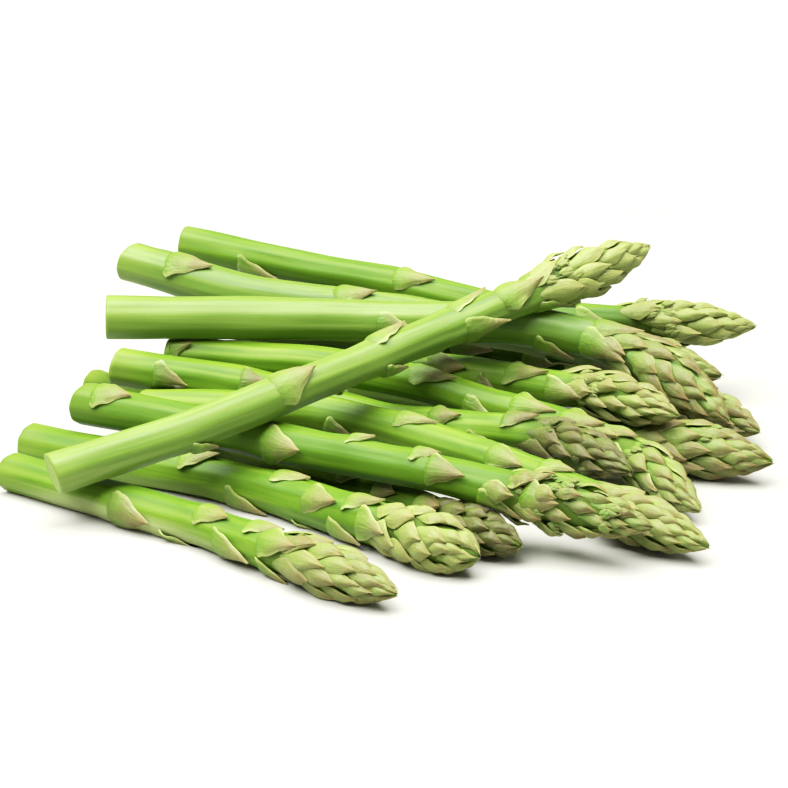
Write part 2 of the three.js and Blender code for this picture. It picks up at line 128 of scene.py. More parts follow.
# One row per spear, with the frame's own centrelines and sizes.
# tone: of scales and bracts, 0 is green, 1 brown. cut, neck: stem radius at the cut and under the
# head. head: its radius and length. slant: how far the front of the cut face lies up the stem.
# turn: angle of the scale at the tip. scales: how many the head has. points: centreline from the
# cut end to the tip. bracts: distance from the cut, angle round the stem from the top toward the
# front, length, and angle that the bract spans.
SPEARS = [
    spear_row(
        "spear_01", "green_spear", stem="glossy_painted_sheen_stem", shade=(0.85, 0.45), tone=0.05, light=0.9,
        cut=6.2, neck=5.2, head=(7.3, 50), slant=1.2, turn=40, scales=40, open=1.5, buds=5,
        points=[(-99, -42, 15.5), (-62, -33, 25), (-28, -15, 32.5), (14, 15, 40), (83.5, 59, 54.6)],
        bracts=[(20, 225, 11, 90), (39, 146, 9, 80), (67.5, 30, 15.5, 138), (88, 215, 13, 95),
                (104, -28, 16, 110), (105, 148, 10, 90), (124, 205, 14, 95), (134, -25, 18, 105),
                (135, 106, 18, 100), (150, 30, 19, 112), (162, -35, 18, 100), (163, 152, 17, 105)],
        openings=[(175, 34), (180, 84)],
    ),
    spear_row(
        "spear_02", "dark_spear", stem="glossy_painted_sheen_stem", shade=(0.85, 0.0), tone=0.6, light=0.45,
        cut=7.0, neck=6.2, head=(8.5, 52), blunt=1.6, slant=0.0, turn=100, scales=48,
        points=[(-90.6, 33, 38.7), (-45, 36, 37.3), (2, 36.5, 36.2), (46, 35.3, 34.4), (77, 25, 27.5),
                (103.3, 0.2, 15.4)],
        bracts=[(44, 250, 15, 95), (84, 92, 13, 90), (104, 215, 14, 95), (134, 138, 16, 95),
                (149, 80, 20, 92), (152, 10, 17, 90)],
    ),
    spear_row(
        "spear_03", "green_spear", stem="glossy_painted_sheen_stem", shade=(0.35, 0.35), tone=0.35,
        cut=6.9, neck=5.9, head=(7.5, 46), blunt=1.6, slant=-2.5, turn=10, scales=42,
        points=[(-88.2, 88.8, 39.9), (-51, 76, 33), (-18, 69, 30.5), (15, 64, 27.5), (60, 53, 22.5),
                (105.3, 33.5, 18.6)],
        bracts=[(12, 15, 18, 125), (48, 160, 14, 95), (71, 25, 15, 95), (95, 280, 14, 95),
                (122, 60, 13, 95), (142, 190, 13, 95)],
    ),
    spear_row(
        "spear_04", "green_spear", shade=(0.2, 0.1), tone=0.25, light=0.85,
        cut=5.9, neck=5.2, head=(7.3, 50), blunt=1.6, slant=0.3, turn=70, scales=42, open=0.6, buds=3,
        points=[(-72, 107, 41), (-32, 93, 37), (2, 83, 33.5), (42, 70, 28), (81, 67, 25.5),
                (120.7, 68, 24)],
        bracts=[(21, 122, 16, 105), (58, 255, 13, 95), (75, 40, 16, 100), (98, 170, 13, 95),
                (120, 300, 13, 95), (137, 75, 15, 95), (142, 200, 13, 90)],
        openings=[(166, 34), (168, 98)],
    ),
    spear_row(
        "spear_05", "green_spear", shade=(0.5, 0.25), tone=0.1, light=0.55,
        cut=5.5, neck=5.3, head=(7.1, 52), slant=-1.0, turn=20, scales=43,
        points=[(-70.6, 35.5, 26.2), (-46, 30.5, 25.9), (-23, 26.5, 25.3), (8, 20.5, 20.9),
                (33, 12, 16), (51, 1, 14), (68, -12, 11.5), (89.6, -46, 5)],
        bracts=[(0, 45, 8, 90), (40, 220, 12, 90), (75, 24, 17, 95), (95, 98, 14, 92),
                (110, 25, 18, 100), (127, 30, 18, 108), (128, 170, 13, 95)],
        openings=[(159, 28)],
    ),
    spear_row(
        "spear_06", "dark_spear", shade=(0.45, 0.4), tone=0.8, light=0.08,
        cut=6.1, neck=5.5, head=(6.8, 44), slant=-2.0, turn=150, scales=43, open=0.4, buds=3,
        points=[(-86.7, 22, 26.1), (-48, 21.8, 19.9), (-17, 18.8, 13.1), (2, 8.3, 12.4), (32, -6, 15),
                (50, -15, 15), (70, -37, 14)],
        bracts=[(11, 92, 12, 110), (38, 48, 9, 90), (70, 250, 12, 95), (103, 30, 13, 90),
                (116, 120, 13, 95), (127, 10, 12, 95)],
        openings=[(143, 20), (158, 116)],
    ),
    spear_row(
        "spear_07", "green_spear", shade=(0.7, 0.3), tone=0.12, light=0.7,
        cut=5.8, neck=5.5, head=(6.9, 44), blunt=1.6, slant=-1.5, turn=200, scales=41,
        points=[(-78, 14, 15.5), (-48, 9, 16.6), (-17, 5, 16), (29, -23, 12.5), (54, -43, 9.5),
                (89, -73.7, 6)],
        bracts=[(30, 200, 12, 90), (58, 120, 12, 90), (81, 4, 15, 100), (100, 230, 12, 95),
                (115, 42, 15, 95), (133, 0, 12, 95), (141, 150, 12, 95)],
    ),
    spear_row(
        "spear_08", "green_spear", shade=(0.1, 0.1), tone=0.35, light=0.55,
        cut=6.2, neck=5.5, head=(7.3, 48), blunt=1.6, slant=-2.4, turn=260, scales=52, small=0.74,
        open=1.4, buds=12,
        points=[(-95, 7.6, 19), (-58, -10, 18.5), (-28, -26, 18), (13, -48, 18), (41, -61, 15.5),
                (73, -76, 13)],
        bracts=[(3, 8, 15, 120), (34, 215, 12, 90), (63.5, 84, 16, 132), (91, -8, 9, 80),
                (112, 0, 10, 85), (118, 55, 14, 92), (134, 122, 16, 95), (143, 8, 13, 95),
                (148, 74, 13, 95)],
        openings=[(160, 12), (173, 66)],
    ),
    spear_row(
        "spear_09", "green_spear", shade=(0.15, 0.15), pale=1.0, tone=0.35, light=0.65,
        cut=6.0, neck=5.7, head=(7.1, 46), slant=-2.0, turn=30, scales=37, small=1.1, open=0.5, buds=1,
        points=[(-114.6, -14.9, 5.6), (-80, -39, 5.5), (-55, -56, 5.4), (-26, -82, 6.3), (2, -105, 6)],
        bracts=[(20, 250, 11, 90), (41, 100, 17, 138), (60, 152, 16, 95), (71, 8, 15, 100),
                (81, 100, 17, 100), (88, 225, 12, 95), (91, -5, 14, 95), (98, 42, 16, 95),
                (99, 135, 12, 90)],
    ),
    spear_row(
        "spear_10", "green_spear", shade=(0.15, 0.15), pale=0.5, tone=0.2, light=0.8,
        cut=6.2, neck=6.3, head=(8.0, 37), blunt=2.4, slant=-0.8, turn=310, scales=40, open=0.25,
        points=[(-113, 9, 5.8), (-84, -6, 5.7), (-46, -25, 5.6), (-16, -48, 6.2), (4, -66, 7.2),
                (24, -83, 7.2)],
        bracts=[(22, 200, 11, 90), (54, 5, 14, 110), (72, 124, 17, 105), (87, -15, 15, 95),
                (98, 165, 11, 85), (102, 50, 15, 88), (112, 122, 15, 92), (117, 12, 15, 90),
                (122, 210, 12, 95), (124, 72, 14, 88)],
    ),
    spear_row(
        "spear_11", "dark_spear", stem="painted_shade_stem", tone=0.9, light=0.0,
        cut=5.6, neck=5.4, head=(6.5, 38), blunt=2.2, slant=0.6, turn=0, scales=38,
        points=[(-99, 63, 5.2), (-49, 8, 5.1), (-4, -33, 5.2), (22, -60, 6.1), (36.5, -73.3, 6.2)],
        bracts=[(50, 40, 11, 90), (90, 150, 11, 90), (120, 20, 11, 90), (135, 40, 11, 85),
                (150, 200, 11, 90), (152, 42, 13, 95)],
    ),
    spear_row(
        "spear_12", "dark_spear", stem="painted_shade_stem", tone=0.6, light=0.6,
        cut=6.0, neck=5.8, head=(8.4, 50), slant=-0.6, turn=180, scales=45,
        points=[(-57, 54, 5.6), (10, 36, 5.5), (50, 20, 6.3), (93, -3, 7.9), (115.4, -13.5, 7.9)],
        bracts=[(40, 60, 12, 90), (80, 0, 12, 90), (106, 220, 13, 95), (120, 80, 14, 100)],
        openings=[(163, 6)],
    ),
    spear_row(
        "spear_13", "dark_spear", stem="painted_shade_stem", tone=0.5,
        cut=6.0, neck=5.6, head=(7.0, 46), slant=0.8, turn=90, scales=36,
        points=[(-54, 101, 14.5), (9, 79, 14.5), (35, 73, 12.5), (81, 56, 7.5), (115, 14, 7)],
        bracts=[(30, 200, 12, 90), (76, 55, 17, 100), (101, 62, 15, 95), (108, 190, 12, 95),
                (115, 30, 12, 90)],
    ),
    spear_row(
        "spear_14", "dark_spear", shade=(0.5, 0.45), tone=0.7, light=0.75,
        cut=6.0, neck=5.5, head=(6.9, 44), slant=0.5, turn=330, scales=43, small=0.9, open=0.5, buds=3,
        points=[(-58, 65, 12.5), (-18, 54, 12.5), (11, 48, 16), (46, 24, 19), (65, 12.5, 20.3),
                (86.4, -8.8, 21)],
        bracts=[(40, 180, 12, 90), (72, 47, 18, 98), (93, 97, 8, 75), (84, 230, 12, 90),
                (102, 34, 17, 95), (117, 82, 16, 100)],
        openings=[(135, 46)],
    ),
]

# Stem materials: colours of the pale streaks, of most of the skin and of the dark streaks, as linear
# red, green and blue, and gloss. The pale and dark colours are also where a stem's painted light and
# shade lean.
STEM_LOOKS = {
    # For the stems on top: more gloss, and paler, bluer colours as painted sheen.
    "glossy_painted_sheen_stem": ((0.120, 0.204, 0.021), (0.078, 0.157, 0.011), (0.049, 0.112, 0.005), 0.36),
    "green_stem": ((0.112, 0.202, 0.011), (0.070, 0.154, 0.005), (0.046, 0.112, 0.003), 0.22),
    # Painted shade: a darker copy for the stems lying deep in the heap, where little light reaches.
    "painted_shade_stem": ((0.040, 0.078, 0.005), (0.024, 0.054, 0.002), (0.014, 0.036, 0.001), 0.05),
}

# Leaf materials. green and brown run from the heel to the tip, and a leaf's tone mixes them.
# The three numbers after tip: strength of the dusky middle, of the brown side and of the painted light
# and shade that each head gets.
LEAF_LOOKS = {
    "scales": dict(
        green=[(0.05, (0.080, 0.168, 0.014)), (0.35, (0.116, 0.190, 0.028)),
               (0.70, (0.142, 0.190, 0.040)), (1.0, (0.180, 0.164, 0.046))],
        brown=[(0.05, (0.066, 0.116, 0.014)), (0.40, (0.092, 0.114, 0.024)),
               (0.68, (0.100, 0.088, 0.022)), (1.0, (0.086, 0.054, 0.018))],
        edge=(0.270, 0.315, 0.080), tip=(0.150, 0.100, 0.026), dusky=0.4, side=0.55, painted_light_share=0.6,
    ),
    "bracts": dict(
        green=[(0.08, (0.072, 0.158, 0.006)), (0.36, (0.100, 0.186, 0.014)),
               (0.66, (0.144, 0.176, 0.038)), (0.95, (0.166, 0.142, 0.050))],
        brown=[(0.08, (0.062, 0.130, 0.006)), (0.36, (0.090, 0.128, 0.016)),
               (0.64, (0.112, 0.096, 0.030)), (0.95, (0.098, 0.064, 0.026))],
        edge=(0.310, 0.370, 0.110), tip=(0.166, 0.124, 0.034), dusky=0.2, side=0.3, painted_light_share=0.15,
    ),
}

# Colours that the materials share.
PALE_LINES = (0.160, 0.240, 0.040)  # fine lines along a stem
NEAR_CUT = (0.160, 0.240, 0.032)
PALE_SKIN_AND_FLOOR_LIGHT = (0.270, 0.330, 0.125)  # pale underside near the cut: partly the stem's own pale skin, partly painted light from the floor
PAINTED_SHADE_UNDER_SCALES = (0.045, 0.075, 0.006)  # core of a head, darkened as painted shade under the scales
DUSK = (0.096, 0.088, 0.026)
BROWN_SIDE = (0.112, 0.078, 0.030)
PALE_VEINS = (0.190, 0.240, 0.052)
# Painted light and shade on a head, lighter or darker by how much light falls on it.
PAINTED_LIGHT_ON_HEAD = (0.236, 0.270, 0.068)
PAINTED_SHADE_ON_HEAD = (0.040, 0.046, 0.005)
CUT_FLESH = [(0.3, (0.150, 0.250, 0.026)), (0.7, (0.205, 0.300, 0.048))]
CUT_FIBRES = (0.120, 0.175, 0.028)
CUT_RIM = (0.108, 0.194, 0.016)
NEAR_FLOOR = [(0.3, (0.370, 0.365, 0.315)), (0.7, (0.390, 0.385, 0.335))]
FAR_FLOOR = (0.70, 0.70, 0.70)


# ---- Small helpers ----

def lerp(a, b, share):
    """Value at a share of the way from a to b."""
    return a + (b - a) * share


def smooth(x, low=0.0, high=1.0):
    """Smooth step from 0 at low to 1 at high."""
    t = np.clip((x - low) / (high - low), 0.0, 1.0)
    return t * t * (3.0 - 2.0 * t)


# ---- Centrelines ----

def centreline(points):
    """A spline through the points, with its running length and its along, top and front directions."""
    knots = np.array(points, float)
    before = 2 * knots[0] - knots[1]
    after = 2 * knots[-1] - knots[-2]
    padded = np.vstack([before, knots, after])
    share = np.linspace(0, len(knots) - 1, SAMPLES + 1)
    first = np.minimum(share.astype(int), len(knots) - 2)
    t = (share - first)[:, None]
    p0, p1, p2, p3 = (padded[first + k] for k in range(4))
    t0 = (p2 - p0) / 2
    t1 = (p3 - p1) / 2
    at = p1 + t0 * t + (3 * (p2 - p1) - 2 * t0 - t1) * t ** 2 + (2 * (p1 - p2) + t0 + t1) * t ** 3
    step = np.linalg.norm(np.diff(at, axis=0), axis=1)
    run = np.append(0.0, np.cumsum(step))
    along = np.gradient(at, run, axis=0)
    along /= np.linalg.norm(along, axis=1)[:, None]
    front = np.cross(along, (0.0, 0.0, 1.0))
    front /= np.linalg.norm(front, axis=1)[:, None]
    top = np.cross(front, along)
    return SimpleNamespace(at=at, run=run, along=along, top=top, front=front)


def frame_at(line, s):
    """Point, along, top and front at each length of s; past an end the line goes straight on."""
    inside = np.clip(s, 0.0, line.run[-1])
    parts = [
        np.stack([np.interp(inside, line.run, values[:, k]) for k in range(3)], axis=1)
        for values in (line.at, line.along, line.top, line.front)
    ]
    point = parts[0] + parts[1] * (s - inside)[:, None]
    return point, *parts[1:]


# ---- Size of a spear along its length ----

def surface_radius(spear, s):
    """Radius of the smooth surface that the scales and bracts lie on."""
    head_radius, head_length = spear.head
    from_tip = spear.length - s
    stem_length = spear.length - head_length
    stem = lerp(spear.cut, spear.neck, np.clip(s, 0.0, None) / stem_length)
    h = np.clip(from_tip, 0.0, None) / head_length
    point = head_radius * (1 - (1 - np.clip(h / WIDEST_AT, 0.0, 1.0)) ** spear.blunt)
    base = lerp(head_radius, spear.neck, smooth(h, WIDEST_AT, 1.0))
    head = np.where(h < WIDEST_AT, point, base)
    return np.where(from_tip >= head_length, stem, head)


# ---- Keeping the spears apart ----

def placed(spear, s, angle, radius):
    """Points at length s, angle and radius, drawn in where they would come too near a neighbour.

    A point may not be further out from its own surface than it is from the neighbour's, less the
    gap. No point goes below the floor.
    """
    point, _, top, front = frame_at(spear.line, s)
    out = top * np.cos(angle)[:, None] + front * np.sin(angle)[:, None]
    own = surface_radius(spear, s)
    r = radius.astype(float).copy()
    bins = (s / spear.length * NEAR_BINS).astype(int)
    bins = np.clip(bins, 0, NEAR_BINS - 1)
    for b, (centres, radii) in enumerate(spear.near):
        rows = np.nonzero(bins == b)[0]
        if len(rows) and len(centres):
            r[rows] = drawn_in(point[rows], out[rows], own[rows], r[rows], centres, radii)
    result = point + out * np.maximum(r, LEAST_RADIUS)[:, None]
    result[:, 2] = np.maximum(result[:, 2], 0.0)
    return result


def drawn_in(point, out, own, r, centres, radii):
    """Radii that keep the points clear of the neighbours' spheres."""
    for _ in range(DRAW_STEPS):
        p = point + out * r[:, None]
        distance = np.linalg.norm(p[:, None, :] - centres[None, :, :], axis=2) - radii[None, :]
        over = np.maximum(r - own, 0.0) + GAP - distance.min(axis=1)
        over = np.maximum(over, 0.0)
        if over.max() < 0.01:
            break
        r = r - DRAW_SHARE * over
    return r


def find_neighbours(spears):
    """For each stretch of each spear, the samples of the other spears that come near it."""
    for spear in spears:
        spear.radii = surface_radius(spear, spear.line.run)
    for spear in spears:
        others = [o for o in spears if o is not spear]
        centres = np.vstack([o.line.at for o in others])
        radii = np.concatenate([o.radii for o in others])
        reach = spear.length / NEAR_BINS + spear.head[0] + NEAR_REACH
        spear.near = []
        for b in range(NEAR_BINS):
            middle = (b + 0.5) / NEAR_BINS * spear.length
            p = frame_at(spear.line, np.array([middle]))[0]
            keep = np.linalg.norm(centres - p, axis=1) - radii < reach
            spear.near.append((centres[keep], radii[keep]))


# ---- Gathering one spear's shells ----

class Shells:
    """Vertices, faces and surface attributes of a spear while it is put together.

    grown is the point on the straightened spear, and seed one number for each shell. leaf is share
    across, share along and tone on scales, bracts and buds. On the stem it is share of the radius,
    share of the way into the head, and the painted light and shade, with the pale underside in it.
    """

    def __init__(self):
        self.points, self.grown, self.leaf, self.seed = [], [], [], []
        self.faces, self.kinds = [], []
        self.first = 0
        self.count = 0

    def add_points(self, points, s, angle, radius, leaf, seed):
        """The points of the next shell, with their places on the spear."""
        self.first = self.count
        self.points.append(points)
        self.grown.append(np.stack([radius * np.cos(angle), radius * np.sin(angle), s], axis=1))
        self.leaf.append(leaf)
        self.seed.append(np.full(len(points), seed))
        self.count += len(points)

    def add_faces(self, faces, kind):
        """Faces of one kind, numbered by the points that were added last."""
        self.faces.extend(tuple(int(i) + self.first for i in face) for face in faces)
        self.kinds.extend([kind] * len(faces))


def add_surface(shells, spear, s, angle, radius, leaf, seed, faces, kind):
    """One closed shell, kept clear of the neighbours."""
    shells.add_points(placed(spear, s, angle, radius), s, angle, radius, leaf, seed)
    shells.add_faces(faces, kind)


# ---- Stem ----

def stem_radius(spear, s, angle):
    """Radius of the stem, with ribs, slow swellings and a low bump behind each bract."""
    r = surface_radius(spear, s)
    phase = spear.phase
    head_start = spear.length - spear.head[1]
    in_head = smooth(s, head_start, head_start + 0.3 * spear.head[1])
    r = r * lerp(1.0, CORE_SHARE, in_head)
    twist = angle + 0.0025 * s
    ribs = np.sin(RIB_COUNT * twist + phase) + 0.5 * np.sin((RIB_COUNT - 4) * twist - 2 * phase)
    swell = 0.16 * np.sin(s / 11 + phase) + 0.10 * np.sin(s / 5.3 + 2 * phase + 2 * angle)
    r = r + (RIB_HEIGHT * ribs + swell) * (1 - in_head)
    for start, degrees, _, _ in spear.bracts:
        side = np.clip(np.cos(angle - math.radians(degrees)), 0.0, 1.0) ** 1.5
        r = r + MOUND[0] * side * np.exp(-((s - start - 0.5) / MOUND[1]) ** 2)
    return r


def stem_rings(spear):
    """Share of the radius and place of each ring, from within the cut face to the core's end."""
    length = spear.length
    count = int((length - CORE_SHORT) / STEM_STEP)
    rings = [(share, 0.0) for share in CUT_RINGS]
    rings += [(1 - CUT_BEVEL * 0.7 / spear.cut, 0.1), (1.0, CUT_BEVEL)]
    rings += [(1.0, s) for s in np.linspace(CUT_BEVEL + 0.8, length - CORE_SHORT, count)]
    return rings


def add_stem(shells, spear):
    """Stem and head core as one tube, closed by the cut face and by the core's end."""
    rings = stem_rings(spear)
    angles = np.linspace(0, 2 * math.pi, STEM_SIDES, endpoint=False)
    share = np.repeat([ring[0] for ring in rings], STEM_SIDES)
    s = np.repeat([ring[1] for ring in rings], STEM_SIDES)
    angle = np.tile(angles, len(rings))
    radius = share * stem_radius(spear, s, angle)
    s = s + cut_relief(spear, share, angle) * (s < 0.05)
    s = s + spear.slant * np.sin(angle) * np.clip(1 - s / SLANT_REACH, 0.0, 1.0) * share
    s = np.append(s, [0.0, spear.length - CORE_SHORT * 0.6])
    angle, radius, share = (np.append(values, [0.0, 0.0]) for values in (angle, radius, share))
    points = placed(spear, s, angle, np.maximum(radius, 1e-6))
    points[-2:] = frame_at(spear.line, s[-2:])[0]
    leaf = stem_leaf(spear, s, angle, share)
    shells.add_points(points, s, angle, radius, leaf, spear.phase % 1.0)
    skin, cut = tube_faces(len(rings), STEM_SIDES)
    shells.add_faces(skin, STEM)
    shells.add_faces(cut, CUT)


def stem_leaf(spear, s, angle, share):
    """The stem's leaf values, in the order that Shells gives."""
    length = spear.length
    head_length = spear.head[1]
    in_head = smooth(s, length - HEAD_START[0] * head_length, length - HEAD_START[1] * head_length)
    # Painted light and shade: the stem is lighter or darker, at the cut and at the neck, by how much
    # light falls on it.
    shade = lerp(*spear.shade, smooth(s, SHADE_TURN[0] * length, SHADE_TURN[1] * length))
    shade = lerp(shade, PALE_SHADE, pale_side(spear, s, angle))
    return np.stack([share, in_head, shade], axis=1)


def pale_side(spear, s, angle):
    """How pale the underside is: partly the stem's own pale skin, partly painted light from the floor.
    """
    around = smooth(np.cos(angle - math.radians(PALE_ANGLE)), -0.35, 0.75)
    along = smooth(s, *PALE_START) * (1 - smooth(s, *PALE_END))
    return spear.pale * around * along


def cut_relief(spear, share, angle):
    """The sawn face isn't quite flat: it dips a little toward the middle."""
    wave = 0.12 * np.sin(3 * angle + spear.phase) * share
    return 0.25 * (1 - share ** 2) + wave * (1 - share) * 2


def tube_faces(ring_count, sides):
    """Faces of a tube's skin and of the cut face that it starts with.

    The middle of the cut face and the far end are the two last points.
    """
    skin, cut = [], []
    middle = ring_count * sides
    last = (ring_count - 1) * sides
    for i in range(sides):
        j = (i + 1) % sides
        cut.append((middle, i, j))
        for ring in range(ring_count - 1):
            a = ring * sides
            b = a + sides
            faces = cut if ring < len(CUT_RINGS) else skin
            faces.append((a + i, b + i, b + j, a + j))
        skin.append((last + i, middle + 1, last + j))
    return skin, cut


# ---- Scales and bracts ----

def leaf_faces(rows, columns):
    """Faces of a thin closed shell: an outer and an inner grid joined round their rim."""
    outer = np.arange(rows * columns).reshape(rows, columns)
    inner = outer + rows * columns
    faces = []
    for i in range(rows - 1):
        for j in range(columns - 1):
            faces.append((outer[i, j], outer[i, j + 1], outer[i + 1, j + 1], outer[i + 1, j]))
            faces.append((inner[i, j], inner[i + 1, j], inner[i + 1, j + 1], inner[i, j + 1]))
    a, b = rim_of(outer), rim_of(inner)
    faces.extend(zip(a, b, np.roll(b, -1), np.roll(a, -1)))
    return faces


def rim_of(grid):
    """The numbers round the rim of a grid, once round."""
    return np.concatenate([grid[0], grid[1:, -1], grid[-1, -2::-1], grid[-2:0:-1, 0]])


def leaf_grid(rows, columns, shoulder):
    """Share across (-1 to 1) and along (0 to 1) of each point, with a row on the shoulder."""
    low = max(2, rows // 3)
    heel = np.linspace(0, shoulder, low, endpoint=False)
    blade = np.linspace(shoulder, 1, rows - low)
    v, u = np.meshgrid(np.append(heel, blade), np.linspace(-1, 1, columns), indexing="ij")
    return u.ravel(), v.ravel()


def add_leaf(shells, spear, s, angle, outer, inner, u, v, grid, rng, kind):
    """The outer and the inner grid of a scale or bract as one closed shell."""
    tone = np.clip(spear.tone + rng.uniform(-0.25, 0.25), 0.0, 1.0)
    leaf = np.stack([u, v, np.full(len(u), tone)], axis=1)
    add_surface(
        shells, spear, np.tile(s, 2), np.tile(angle, 2), np.append(outer, inner),
        np.tile(leaf, (2, 1)), rng.uniform(0, 1), leaf_faces(*grid), kind,
    )


def bract_shape(u, v, shoulder, rng):
    """Half width, shift along, outer rise and thickness of a bract, at each share u, v.

    Its heel grows out of the stem, its thin side corners stand off a little and its tip is drawn
    out to a point.
    """
    taper = np.clip((v - shoulder) / (1 - shoulder), 0.0, 1.0)
    width = lerp(0.92, 1.0, smooth(v, 0.0, shoulder)) * (1 - taper ** 1.12) ** 1.1
    ragged = 1 + 0.07 * np.sin(15 * v + 2.5 * np.sign(u) + rng.uniform(0, 6)) * smooth(v, 0.1, 0.3)
    width = np.maximum(width * ragged, 0.02)
    shift = rng.uniform(-0.04, 0.10) * u ** 2 * (1 - v)
    corner = smooth(np.abs(u), 0.55, 1.0) * np.exp(-((v - shoulder - 0.05) / 0.17) ** 2)
    side = rng.uniform(0.1, 1.4, 2)
    flare = np.where(u < 0, side[0], side[1]) * corner
    lift = rng.uniform(0.2, 1.8) * v ** 3.5
    heel = lerp(-0.35, 0.95, smooth(v, -0.02, 0.20))
    belly = 0.70 * np.sin(math.pi * np.clip(v, 0, 1)) * (1 - u ** 2)
    hug = 0.55 * np.abs(u) ** 2.4
    wave = 0.10 * np.sin(11 * v + 4 * u + rng.uniform(0, 6)) * u ** 2 * smooth(v, 0.1, 0.5)
    rise = heel + belly - hug + lift + flare + wave
    thick = lerp(1.5, 0.26, smooth(v, 0.0, 0.30)) * lerp(1.0, 0.65, smooth(np.abs(u), 0.6, 1.0))
    return width, shift, rise, thick


def add_bract(shells, spear, bract, rng):
    """One bract that clasps the stem."""
    start, degrees, length, span = bract
    shoulder = rng.uniform(0.15, 0.31)
    u, v = leaf_grid(*BRACT_GRID, shoulder)
    width, shift, rise, thick = bract_shape(u, v, shoulder, rng)
    half = math.radians(span) / 2
    lean = rng.uniform(-0.22, 0.22)
    s = start + length * (v + shift)
    angle = math.radians(degrees) + half * width * u + lean * v
    base = surface_radius(spear, s)
    inner = np.maximum(base + rise - thick, base * 0.3)
    add_leaf(shells, spear, s, angle, base + rise, inner, u, v, BRACT_GRID, rng, BRACT)


def scale_shape(u, v, shoulder, age, lift, rng):
    """The same four values for a scale of the head.

    It rises from under the older scales, its back is arched and its point lies on the next ones.
    """
    taper = np.clip((v - shoulder) / (1 - shoulder), 0.0, 1.0)
    width = lerp(0.55, 1.0, smooth(v, 0.0, shoulder))
    width = np.where(v < shoulder, width, (1 - taper ** 1.35) ** 1.2)
    phase = 60.0 * shoulder
    ragged = 1 + 0.08 * np.sin(11 * v + 2.0 * np.sign(u) + phase) * smooth(v, 0.2, 0.5)
    width = np.maximum(width * ragged, 0.03)
    shift = 0.08 * u ** 2 * (1 - v)
    root = lerp(-1.3, -0.5, age ** 2)
    rise = lerp(root, 0.55, smooth(v, 0.0, 0.75)) + 0.12 * np.sin(math.pi * np.clip(v, 0, 1))
    arch = lerp(0.5, 1.25, smooth(v, 0.1, 0.6)) * lerp(1.0, 0.45, smooth(v, 0.7, 1.0))
    rise = rise + arch * (0.42 - np.abs(u) ** 2.2)
    side = rng.uniform(-0.25, 0.25, 2) + 0.25 * lift
    curl = np.where(u < 0, side[0], side[1]) * smooth(np.abs(u), 0.6, 1.0) * smooth(v, 0.2, 0.5)
    stand = smooth(v, 0.1, 0.8) ** 1.3 * lerp(1.0, 0.45, smooth(v, 0.7, 1.0))
    wrinkles = 0.11 * np.sin(9 * v + 4 * u + 2 * phase) + 0.07 * np.sin(7 * u - 5 * v + phase)
    rise = rise + lift * stand + curl + wrinkles * smooth(v, 0.25, 0.55)
    flesh = 0.9 * (1 - u ** 2) * (1 - v ** 2)
    thick = lerp(1.3, 0.30, smooth(v, 0.0, 0.45)) * lerp(1.0, 0.7, smooth(np.abs(u), 0.5, 1.0))
    return width, shift, rise, thick + flesh


def oldest_scale(spear):
    """Length and width of the head's oldest scale."""
    return OLDEST_SCALE if spear.blunt < 2 else BLUNT_OLDEST_SCALE


def scale_gap(i):
    """Distance from the spear's tip to the tip of scale i, before it is fitted to the head."""
    return (SCALE_GROWTH ** i - 1) / (SCALE_GROWTH - 1)


def scale_place(spear, i, rng):
    """Start, turn and length of scale i, counted from the tip."""
    count = spear.scales
    age = i / (count - 1)
    oldest = oldest_scale(spear)[0]
    length = lerp(YOUNGEST_SCALE[0], oldest, age ** 0.9) * spear.small
    length *= rng.uniform(0.85, 1.12)
    fit = (spear.head[1] + HEAD_RUN - oldest * spear.small) / scale_gap(count - 1)
    start = spear.length - scale_gap(i) * fit - length
    start += rng.uniform(-1.3, 1.3) * smooth(age, 0.0, 0.25)
    stray = rng.uniform(-1, 1) * (SCALE_STRAY[0] + SCALE_STRAY[1] * spear.open)
    turn = math.radians(spear.turn + GOLDEN_ANGLE * i + stray)
    return start, turn, length


def in_opening(spear, s, turn):
    """True where the head is open and a scale is missing."""
    for place, degrees in spear.openings:
        apart = math.remainder(turn - math.radians(degrees), 2 * math.pi)
        if abs(s - place) < OPENING_REACH[0] and abs(apart) * spear.head[0] < OPENING_REACH[1]:
            return True
    return False


def has_buds(spear, i):
    """True for the oldest scales of a head that has side buds."""
    return spear.scales - 1 - i < spear.buds


def add_scale(shells, spear, i, start, turn, length, rng):
    """One scale of the head at its place."""
    age = i / (spear.scales - 1)
    wide = lerp(YOUNGEST_SCALE[1], oldest_scale(spear)[1], age ** 0.7) * spear.head[0] / USUAL_HEAD
    wide *= spear.small
    middle = surface_radius(spear, np.array([start + 0.45 * length]))[0]
    wide *= rng.uniform(0.82, 1.12)
    half = min(wide / 2 / max(middle, 1.0), math.radians(WIDEST_SCALE))
    shoulder = rng.uniform(0.42, 0.54)
    u, v = leaf_grid(*SCALE_GRID, shoulder)
    lift = spear.open * age * rng.uniform(0.1, 1.0)
    if has_buds(spear, i):
        lift += BUD_ROOM
    width, shift, rise, thick = scale_shape(u, v, shoulder, age, lift, rng)
    s = start + length * (v + shift)
    angle = turn + half * width * u + rng.uniform(-0.16, 0.16) * v
    base = surface_radius(spear, s)
    relief = np.clip(base / FULL_RELIEF, 0.12, 1.0)
    outer = np.maximum(base + rise * relief, 0.15)
    inner = np.maximum(outer - thick * relief, 0.05)
    add_leaf(shells, spear, s, angle, outer, inner, u, v, SCALE_GRID, rng, SCALE)


# ---- Side buds ----

def bud_axes(rng):
    """Direction of a bud, its side and its upper side, in the spear's own coordinates."""
    tilt = math.radians(rng.uniform(0, 22))
    lean = rng.uniform(-0.35, 0.35)
    axis = np.array([math.cos(tilt) * math.cos(lean), math.sin(lean), math.sin(tilt)])
    axis /= np.linalg.norm(axis)
    side = np.cross((0.0, 0.0, 1.0), axis)
    side /= np.linalg.norm(side)
    return axis, side, np.cross(axis, side)


